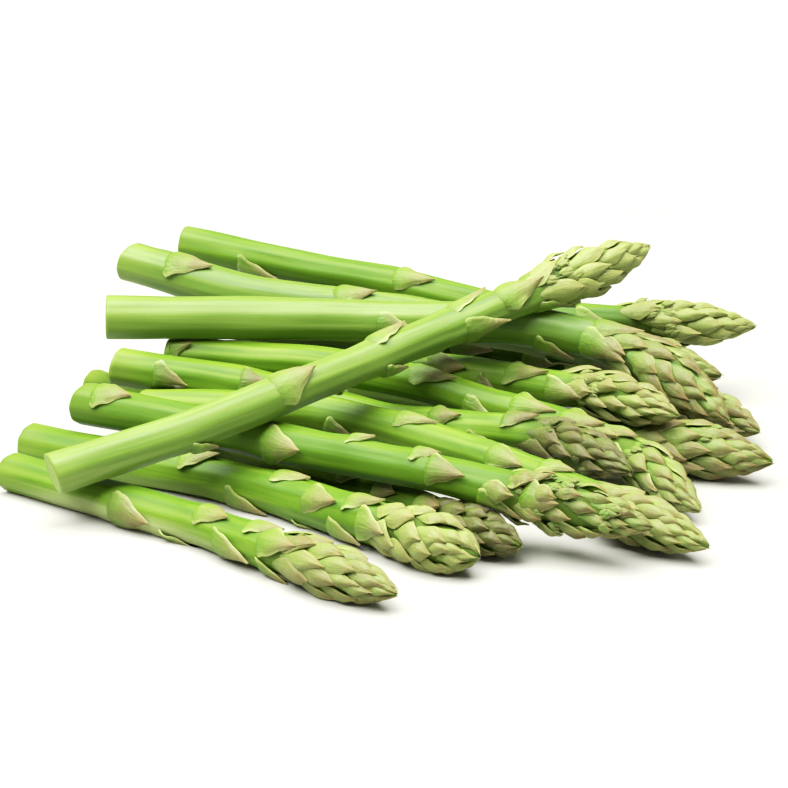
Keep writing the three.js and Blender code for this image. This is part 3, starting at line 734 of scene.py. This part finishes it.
def add_bud(shells, spear, start, turn, height, size, rng):
    """A small side bud: a few scales round a short axis."""
    axis, side, up = bud_axes(rng)
    u, v = leaf_grid(*BUD_GRID, 0.4)
    faces = leaf_faces(*BUD_GRID)
    leaf = np.stack([u, v * 0.8, np.full(len(u), spear.tone * 0.5)], axis=1)
    for i in range(BUD_SCALES):
        age = i / (BUD_SCALES - 1)
        d = size * (lerp(0.42, 0.0, age) + lerp(0.58, 0.62, age) * v)
        width = np.maximum(lerp(0.75, 1.0, smooth(v, 0, 0.4)) * (1 - v ** 2.4), 0.05)
        body = 0.27 * size * np.sin(math.pi * np.clip(0.14 + 0.84 * d / size, 0, 1)) ** 0.7
        around = math.radians(GOLDEN_ANGLE * i) + rng.uniform(-0.2, 0.2) + 0.8 * width * u
        outer = body * (1 + 0.22 * (0.5 - u ** 2)) + 0.05 * size * age * v
        outer = np.maximum(outer, 0.1)
        both = np.append(outer, outer * 0.72)
        turns = np.tile(around, 2)
        local = np.tile(d, 2)[:, None] * axis
        local = local + (both * np.cos(turns))[:, None] * up + (both * np.sin(turns))[:, None] * side
        s = start + local[:, 0]
        base = surface_radius(spear, s)
        angle = turn + local[:, 1] / np.maximum(base, 2.5)
        radius = np.maximum(base + height + local[:, 2], 0.2)
        seed = rng.uniform(0, 1)
        add_surface(shells, spear, s, angle, radius, np.tile(leaf, (2, 1)), seed, faces, SCALE)


def add_buds(shells, spear, start, turn, length, rng):
    """A cluster of buds in the angle between the stem and one scale."""
    for offset in BUD_TURNS:
        size = rng.uniform(3.8, 5.4)
        begin = start + length * rng.uniform(*BUD_STARTS)
        height = rng.uniform(-0.9, 0.0)
        add_bud(shells, spear, begin, turn + offset + rng.uniform(-0.1, 0.1), height, size, rng)


# ---- One spear ----

def new_object(name, data):
    """An object in the scene."""
    made = bpy.data.objects.new(name, data)
    bpy.context.scene.collection.objects.link(made)
    return made


def grow_spear(spear, number):
    """All the shells of a spear, with its oldest scales first."""
    rng = np.random.default_rng(FIRST_SEED + number)
    shells = Shells()
    add_stem(shells, spear)
    for bract in spear.bracts:
        add_bract(shells, spear, bract, rng)
    for i in range(spear.scales - 1, -1, -1):
        start, turn, length = scale_place(spear, i, rng)
        if in_opening(spear, start + SHOWN_AT * length, turn):
            continue
        add_scale(shells, spear, i, start, turn, length, rng)
        if has_buds(spear, i):
            add_buds(shells, spear, start, turn, length, rng)
    for s, degrees in spear.openings:
        start = s - BUD_MIDDLE * OPENING_DEPTH
        add_buds(shells, spear, start, math.radians(degrees), OPENING_DEPTH, rng)
    return shells


def build_spear(spear, number, materials):
    """The fine spear as one piece that stands for the frame's node."""
    shells = grow_spear(spear, number)
    mesh = bpy.data.meshes.new(spear.name + "_fine")
    points = (np.vstack(shells.points) + np.array(ORIGIN_SHIFT)) * MM
    mesh.from_pydata(points.tolist(), [], shells.faces)
    for material in materials:
        mesh.materials.append(material)
    mesh.polygons.foreach_set("material_index", np.array(shells.kinds, np.int32))
    write_attributes(mesh, shells, spear.light)
    mesh.polygons.foreach_set("use_smooth", np.ones(len(shells.faces), bool))
    mesh.update()
    mesh.set_sharp_from_angle(angle=math.radians(SHARP_EDGE))
    piece = new_object(spear.name + "_fine", mesh)
    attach(piece, "root")
    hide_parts(spear.name)


def write_attributes(mesh, shells, painted_head_light):
    """Puts the values that the materials read on the mesh's points."""
    for name, parts in (("grown", shells.grown), ("leaf", shells.leaf)):
        layer = mesh.attributes.new(name, "FLOAT_VECTOR", "POINT")
        layer.data.foreach_set("vector", np.vstack(parts).astype(np.float32).ravel())
    seed = np.concatenate(shells.seed)
    # light holds each head's painted light and shade.
    for name, values in (("seed", seed), ("light", np.full(shells.count, painted_head_light))):
        layer = mesh.attributes.new(name, "FLOAT", "POINT")
        layer.data.foreach_set("value", values.astype(np.float32))


# ---- Materials ----

# Noise scales are per mm, or per metre on the floor. Bump distances are metres.

def set_inputs(node, **values):
    """Plain values for a node's inputs, by name, with _ for a space."""
    for name, value in values.items():
        node.inputs[name.replace("_", " ")].default_value = value


class Nodes:
    """Short calls for the nodes of one material. Values are links or plain numbers."""

    def __init__(self, name):
        self.material = bpy.data.materials.new(name)
        self.material.use_nodes = True
        self.tree = self.material.node_tree
        self.shader = self.tree.nodes["Principled BSDF"]

    def new(self, kind, **settings):
        node = self.tree.nodes.new(kind)
        for key, value in settings.items():
            setattr(node, key, value)
        return node

    def link(self, source, target):
        self.tree.links.new(source, target)

    def put(self, socket, value):
        if isinstance(value, bpy.types.NodeSocket):
            self.link(value, socket)
        else:
            socket.default_value = value

    def vector(self, name):
        return self.new("ShaderNodeAttribute", attribute_name=name).outputs["Vector"]

    def number(self, name):
        return self.new("ShaderNodeAttribute", attribute_name=name).outputs["Fac"]

    def math(self, operation, a, b=0.0):
        node = self.new("ShaderNodeMath", operation=operation)
        self.put(node.inputs[0], a)
        self.put(node.inputs[1], b)
        return node.outputs[0]

    def add(self, a, b):
        return self.math("ADD", a, b)

    def times(self, a, b):
        return self.math("MULTIPLY", a, b)

    def centred(self, value, gain):
        """A noise value moved to zero mean and scaled."""
        return self.times(self.math("SUBTRACT", value, 0.5), gain)

    def separate(self, vector):
        node = self.new("ShaderNodeSeparateXYZ")
        self.link(vector, node.inputs[0])
        return node.outputs

    def combine(self, x, y, z):
        node = self.new("ShaderNodeCombineXYZ")
        for socket, value in zip(node.inputs, (x, y, z)):
            self.put(socket, value)
        return node.outputs[0]

    def noise(self, vector, scale, detail=3.0, roughness=0.55):
        node = self.new("ShaderNodeTexNoise")
        self.link(vector, node.inputs["Vector"])
        set_inputs(node, Scale=scale, Detail=detail, Roughness=roughness)
        return node.outputs["Fac"]

    def span(self, value, low, high, at_low=0.0, at_high=1.0):
        """A smooth step from at_low, where value is low, to at_high, where it is high."""
        node = self.new("ShaderNodeMapRange", interpolation_type="SMOOTHSTEP")
        self.put(node.inputs["Value"], value)
        set_inputs(node, From_Min=low, From_Max=high, To_Min=at_low, To_Max=at_high)
        return node.outputs["Result"]

    def ramp(self, share, stops):
        """A colour at a share of the way through stops of (share, colour)."""
        node = self.new("ShaderNodeValToRGB")
        elements = node.color_ramp.elements
        while len(elements) < len(stops):
            elements.new(0.5)
        for element, (position, colour) in zip(elements, stops):
            element.position = position
            element.color = (*colour, 1.0)
        self.put(node.inputs["Fac"], share)
        return node.outputs["Color"]

    def mix(self, share, a, b):
        """Colour a with a share of colour b in it."""
        node = self.new("ShaderNodeMix", data_type="RGBA")
        self.put(node.inputs[0], share)
        for socket, value in ((node.inputs[6], a), (node.inputs[7], b)):
            self.put(socket, value if isinstance(value, bpy.types.NodeSocket) else (*value, 1.0))
        return node.outputs[2]

    def tint(self, base, colour, value, low, high, at_low=0.0, at_high=1.0):
        """The base with a share of a colour over it, which follows a value as span says."""
        return self.mix(self.span(value, low, high, at_low, at_high), base, colour)

    def bump(self, height, distance, strength):
        """Relief on the shader's normal."""
        node = self.new("ShaderNodeBump")
        self.link(height, node.inputs["Height"])
        set_inputs(node, Distance=distance, Strength=strength)
        self.link(node.outputs["Normal"], self.shader.inputs["Normal"])


def fleshy(nodes, colour, roughness, subsurface, scale, gloss):
    """Moist plant flesh: soft light inside it, a satin skin over it."""
    shader = nodes.shader
    nodes.link(colour, shader.inputs["Base Color"])
    nodes.put(shader.inputs["Roughness"], roughness)
    set_inputs(shader, Subsurface_Weight=subsurface, Subsurface_Radius=(0.6, 1.0, 0.25))
    set_inputs(shader, Subsurface_Scale=scale, Specular_IOR_Level=gloss, IOR=1.45)


def stem_material(name, light, middle, dark, gloss):
    """Satin green skin with soft pale and dark streaks along the stem."""
    nodes = Nodes(name)
    x, y, s = nodes.separate(nodes.vector("grown"))
    far = nodes.add(s, nodes.times(nodes.number("seed"), 700.0))
    streaked = nodes.combine(x, y, nodes.times(far, 0.03))
    clouded = nodes.combine(x, y, nodes.times(far, 0.35))
    streaks = nodes.noise(streaked, scale=0.55, detail=2.5, roughness=0.5)
    fine = nodes.noise(streaked, scale=2.6, detail=2.5)
    clouds = nodes.noise(clouded, scale=0.13, detail=2.0)
    base = nodes.ramp(streaks, [(0.33, dark), (0.50, middle), (0.68, light)])
    base = nodes.tint(base, light, clouds, 0.42, 0.75, 0.0, 0.35)
    base = nodes.tint(base, PALE_LINES, fine, 0.55, 0.80, 0.0, 0.22)
    base = nodes.tint(base, NEAR_CUT, s, 0.0, 14.0, 0.45, 0.0)
    _, in_head, shade = nodes.separate(nodes.vector("leaf"))
    # Painted light and shade: toward the pale or the dark streak colour where the stem gets more or
    # less light.
    base = nodes.tint(base, light, shade, 0.5, 1.0, 0.0, 0.6)
    base = nodes.tint(base, dark, shade, 0.5, 0.0, 0.0, 0.6)
    # Pale underside: partly the stem's own pale skin, partly painted light bounced up from the floor.
    paleness = nodes.add(shade, nodes.centred(streaks, 1.2))
    base = nodes.tint(base, PALE_SKIN_AND_FLOOR_LIGHT, paleness, 0.85, 1.9, 0.0, 0.85)
    # Painted shade: the head's core is dark where it lies under the scales.
    base = nodes.mix(nodes.times(in_head, 0.75), base, PAINTED_SHADE_UNDER_SCALES)
    rough = nodes.add(nodes.span(fine, 0.3, 0.7, 0.44, 0.54), nodes.times(in_head, 0.3))
    fleshy(nodes, base, rough, subsurface=0.2, scale=0.0018, gloss=gloss)
    nodes.bump(nodes.add(streaks, nodes.times(fine, 0.35)), distance=0.00018, strength=0.4)
    return nodes.material


def leaf_material(name, green, brown, edge, tip, dusky, side, painted_light_share):
    """Scales and bracts: green at the heel, dusky toward the tip, with pale papery edges."""
    nodes = Nodes(name)
    u, v, tone = nodes.separate(nodes.vector("leaf"))
    seed = nodes.number("seed")
    grown = nodes.vector("grown")
    veined = nodes.combine(nodes.times(u, 4.0), nodes.times(v, 0.7), nodes.times(seed, 90.0))
    veins = nodes.noise(veined, scale=2.0)
    mottled = nodes.noise(grown, scale=0.35, detail=2.0)
    flecks = nodes.noise(grown, scale=1.9, roughness=0.6)
    reach = nodes.add(v, nodes.centred(mottled, 0.5))
    reach = nodes.add(reach, nodes.centred(veins, 0.45))
    lean = nodes.add(tone, nodes.centred(mottled, 0.9))
    lean = nodes.add(lean, nodes.centred(seed, 0.5))
    brownish = nodes.span(lean, 0.15, 0.95)
    base = nodes.mix(brownish, nodes.ramp(reach, green), nodes.ramp(reach, brown))
    base = dusky_middle(nodes, base, v, flecks, dusky)
    base = brown_side(nodes, base, u, v, seed, mottled, side)
    green_share = nodes.math("SUBTRACT", 1.0, nodes.times(brownish, 0.35))
    base = papery_rim(nodes, base, u, veins, flecks, green_share, edge)
    base = nodes.tint(base, tip, v, 0.62, 1.0, 0.0, 0.65)
    # Painted light and shade: each head lighter or darker by how much light falls on it.
    light = nodes.number("light")
    base = nodes.tint(base, PAINTED_LIGHT_ON_HEAD, light, 0.5, 1.0, 0.0, painted_light_share)
    base = nodes.tint(base, PAINTED_SHADE_ON_HEAD, light, 0.5, 0.0, 0.0, painted_light_share)
    rough = nodes.span(mottled, 0.3, 0.7, 0.46, 0.58)
    fleshy(nodes, base, rough, subsurface=0.35, scale=0.0020, gloss=0.32)
    crinkled = nodes.noise(grown, scale=0.75, detail=2.0, roughness=0.5)
    relief = nodes.add(nodes.add(veins, nodes.times(flecks, 0.4)), crinkled)
    nodes.bump(relief, distance=0.00032, strength=0.7)
    return nodes.material


def dusky_middle(nodes, base, v, flecks, dusky):
    """Fine dusky flecks between a leaf's heel and its tip."""
    dusk = nodes.times(nodes.span(v, 0.15, 0.5), nodes.span(v, 1.05, 0.6))
    dusk = nodes.times(dusk, nodes.span(flecks, 0.35, 0.70, 0.1, dusky))
    return nodes.mix(dusk, base, DUSK)


def brown_side(nodes, base, u, v, seed, mottled, side):
    """One side of most leaves is brown; the seed says which."""
    share = nodes.times(u, nodes.span(seed, 0.40, 0.60, -1.0, 1.0))
    share = nodes.add(share, nodes.centred(mottled, 0.9))
    share = nodes.times(nodes.span(share, 0.10, 0.90, 0.0, side), nodes.span(v, 0.25, 0.60))
    return nodes.mix(share, base, BROWN_SIDE)


def papery_rim(nodes, base, u, veins, flecks, green_share, edge):
    """Pale veins and pale side edges, which show most on green leaves."""
    pale = nodes.times(nodes.span(veins, 0.52, 0.75, 0.0, 0.22), green_share)
    base = nodes.mix(pale, base, PALE_VEINS)
    rim = nodes.add(nodes.math("ABSOLUTE", u), nodes.centred(flecks, 0.2))
    rim = nodes.times(nodes.span(rim, 0.76, 1.0, 0.0, 0.75), green_share)
    return nodes.mix(rim, base, edge)


def cut_material():
    """Cut flesh: pale, with darker bundles of fibre and a green rim."""
    nodes = Nodes("cut_face")
    share = nodes.separate(nodes.vector("leaf"))[0]
    grown = nodes.vector("grown")
    cells = nodes.new("ShaderNodeTexVoronoi")
    nodes.link(grown, cells.inputs["Vector"])
    set_inputs(cells, Scale=1.1)
    fibres = nodes.span(cells.outputs["Distance"], 0.30, 0.10, 0.0, 0.55)
    clouds = nodes.noise(grown, scale=0.6)
    base = nodes.mix(fibres, nodes.ramp(clouds, CUT_FLESH), CUT_FIBRES)
    base = nodes.tint(base, CUT_RIM, share, 0.74, 1.0, 0.0, 0.9)
    fleshy(nodes, base, 0.5, subsurface=0.3, scale=0.003, gloss=0.35)
    nodes.bump(nodes.math("SUBTRACT", clouds, fibres), distance=0.0003, strength=0.5)
    return nodes.material


def floor_material():
    """Pale floor with a faint unevenness, paler away from the heap and bright far off."""
    nodes = Nodes("pale_floor")
    where = nodes.new("ShaderNodeTexCoord").outputs["Object"]
    grain = nodes.noise(where, scale=40.0, detail=2.0)
    away = nodes.new("ShaderNodeVectorMath", operation="LENGTH")
    nodes.link(where, away.inputs[0])
    metres = away.outputs["Value"]
    base = nodes.mix(nodes.span(metres, 0.25, 0.80), nodes.ramp(grain, NEAR_FLOOR), FAR_FLOOR)
    nodes.link(base, nodes.shader.inputs["Base Color"])
    glow = nodes.span(metres, 0.70, 2.00, 0.0, 0.9)
    nodes.link(glow, nodes.shader.inputs["Emission Strength"])
    set_inputs(nodes.shader, Emission_Color=(1.0, 1.0, 1.0, 1.0))
    set_inputs(nodes.shader, Roughness=0.35, Specular_IOR_Level=0.3)
    return nodes.material


# ---- Floor, light and camera ----

def make_floor():
    """A large plain square under the heap."""
    mesh = bpy.data.meshes.new("floor")
    corners = [(-1, -1), (1, -1), (1, 1), (-1, 1)]
    points = [(x * FLOOR_HALF, y * FLOOR_HALF, -FLOOR_DROP) for x, y in corners]
    mesh.from_pydata(points, [], [(0, 1, 2, 3)])
    mesh.materials.append(floor_material())
    new_object("floor", mesh)


def make_light():
    """A soft box above the heap, facing its middle."""
    data = bpy.data.lights.new("top", "AREA")
    data.shape = "RECTANGLE"
    data.size = LIGHT_SIZE[0] * MM
    data.size_y = LIGHT_SIZE[1] * MM
    data.energy = LIGHT_POWER
    light = new_object("top", data)
    light.location = Vector(LIGHT_PLACE) * MM
    light.rotation_euler = (-Vector(LIGHT_PLACE)).to_track_quat("-Z", "Y").to_euler()


def make_world():
    """Even white light from all sides."""
    world = bpy.data.worlds.new("soft_white")
    world.use_nodes = True
    background = world.node_tree.nodes["Background"]
    set_inputs(background, Color=(1.0, 1.0, 1.0, 1.0), Strength=WORLD_LIGHT)
    bpy.context.scene.world = world


def make_camera():
    """A long lens, in front of the heap and a little above it."""
    rise = math.radians(CAMERA_ELEVATION)
    offset = Vector((0.0, -math.cos(rise), math.sin(rise))) * CAMERA_DISTANCE
    data = bpy.data.cameras.new("camera")
    data.lens = CAMERA_LENS
    data.clip_end = CAMERA_FAR
    camera = new_object("camera", data)
    camera.location = (Vector(CAMERA_TARGET) + offset) * MM
    camera.rotation_euler = (-offset).to_track_quat("-Z", "Y").to_euler()
    bpy.context.scene.camera = camera


def set_tone_curve():
    """Rolls bright light off softly, as a camera does."""
    view = bpy.context.scene.view_settings
    view.view_transform = "Standard"
    view.use_curve_mapping = True
    mapping = view.curve_mapping
    mapping.white_level = (WHITE_POINT,) * 3
    curve = mapping.curves[3]
    for light, shown in TONE_CURVE:
        curve.points.new(light / WHITE_POINT, shown)
    mapping.update()


# ---- Scene ----


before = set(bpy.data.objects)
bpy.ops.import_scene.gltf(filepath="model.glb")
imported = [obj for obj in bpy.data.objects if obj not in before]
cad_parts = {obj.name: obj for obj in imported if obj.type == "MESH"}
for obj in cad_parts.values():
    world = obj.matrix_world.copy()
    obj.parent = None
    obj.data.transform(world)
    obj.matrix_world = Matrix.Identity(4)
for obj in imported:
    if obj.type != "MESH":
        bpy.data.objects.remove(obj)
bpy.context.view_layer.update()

for index, row in enumerate(SPEARS):
    row.line = centreline(row.points)
    row.length = row.line.run[-1]
    row.phase = 1.7 * (index + 1)
find_neighbours(SPEARS)

stems = {name: stem_material(name, *look) for name, look in STEM_LOOKS.items()}
leaves = {name: leaf_material(name, **look) for name, look in LEAF_LOOKS.items()}
cut_face = cut_material()
for index, row in enumerate(SPEARS):
    build_spear(row, index, [stems[row.stem], leaves["scales"], cut_face, leaves["bracts"]])

make_floor()
make_world()
make_light()
make_camera()
set_tone_curve()
